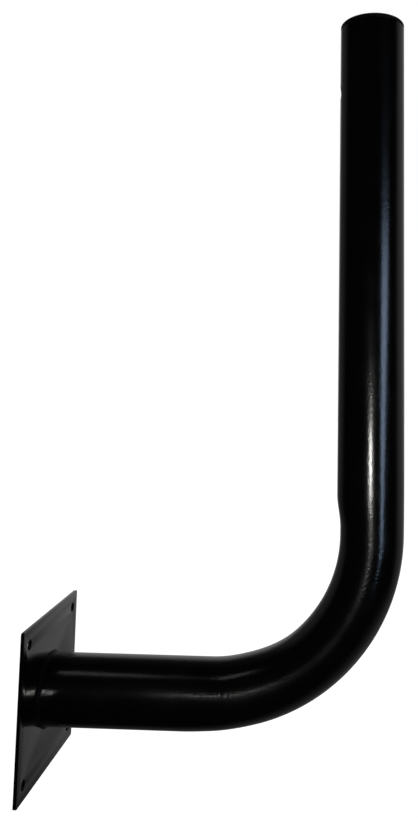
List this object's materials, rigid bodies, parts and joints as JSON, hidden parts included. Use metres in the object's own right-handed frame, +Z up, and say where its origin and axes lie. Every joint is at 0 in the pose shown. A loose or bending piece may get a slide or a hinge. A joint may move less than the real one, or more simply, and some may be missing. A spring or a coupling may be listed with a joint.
{
  "type": "sensor wall bracket",
  "caption": "Bent steel tube welded to a square wall plate, with an upright for a sensor, a cable exit near its top and a plastic end cap.",
  "frame": {"origin": "middle of the wall plate's back face, which is the middle of its four fixing holes", "axes": "+X away from the wall along the arm, +Z up along the upright, +Y sideways"},
  "size_m": [0.3182, 0.136, 0.684],
  "materials": {
    "coated_steel": "glossy black powder coat with a fine orange peel",
    "cap_plastic": "black moulded plastic, satin"
  },
  "bodies": {
    "root": {"wall_plate": "coated_steel", "bent_tube": "coated_steel", "weld_bead": "coated_steel", "end_cap": "cap_plastic"}
  },
  "joints": []
}
